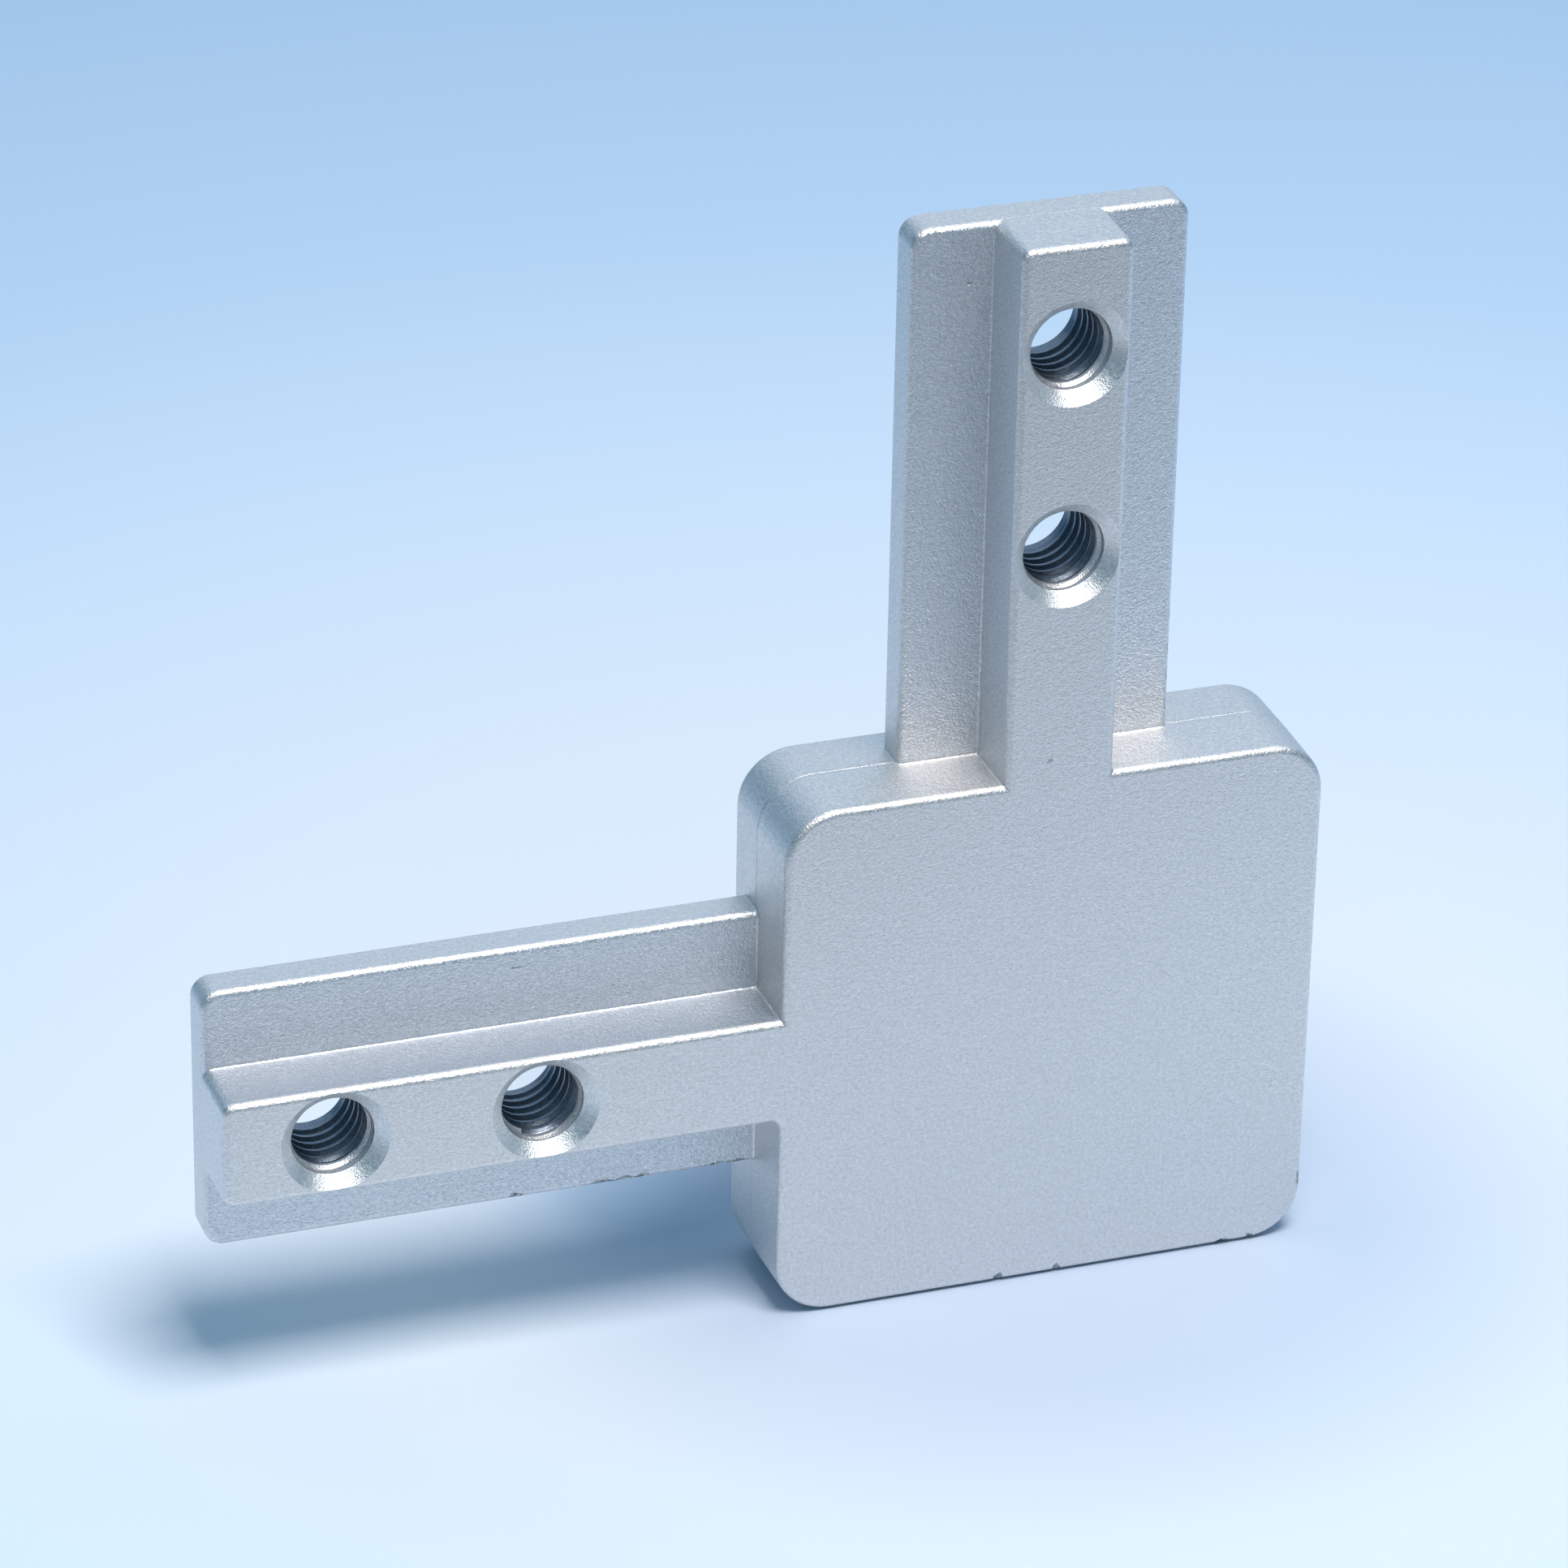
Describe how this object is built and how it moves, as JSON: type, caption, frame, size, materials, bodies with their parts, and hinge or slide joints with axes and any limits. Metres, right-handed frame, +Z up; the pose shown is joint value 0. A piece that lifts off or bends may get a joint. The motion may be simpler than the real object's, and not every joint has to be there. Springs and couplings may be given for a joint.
{
  "type": "three way corner connector",
  "caption": "Cast corner connector for slotted profile: a square head with T-shaped arms at right angles, each with threaded holes for set screws.",
  "frame": {"origin": "middle of the head's lower side, on which it stands", "axes": "+X right, seen from the front; +Y from the front face to the back, along the rear arm; +Z up, along the upper arm; the left arm points to -X"},
  "size_m": [0.08, 0.0504, 0.08],
  "materials": {
    "zinc": "matt, fine-grained, tumbled casting"
  },
  "bodies": {
    "root": {"corner_connector": "zinc"}
  },
  "joints": []
}
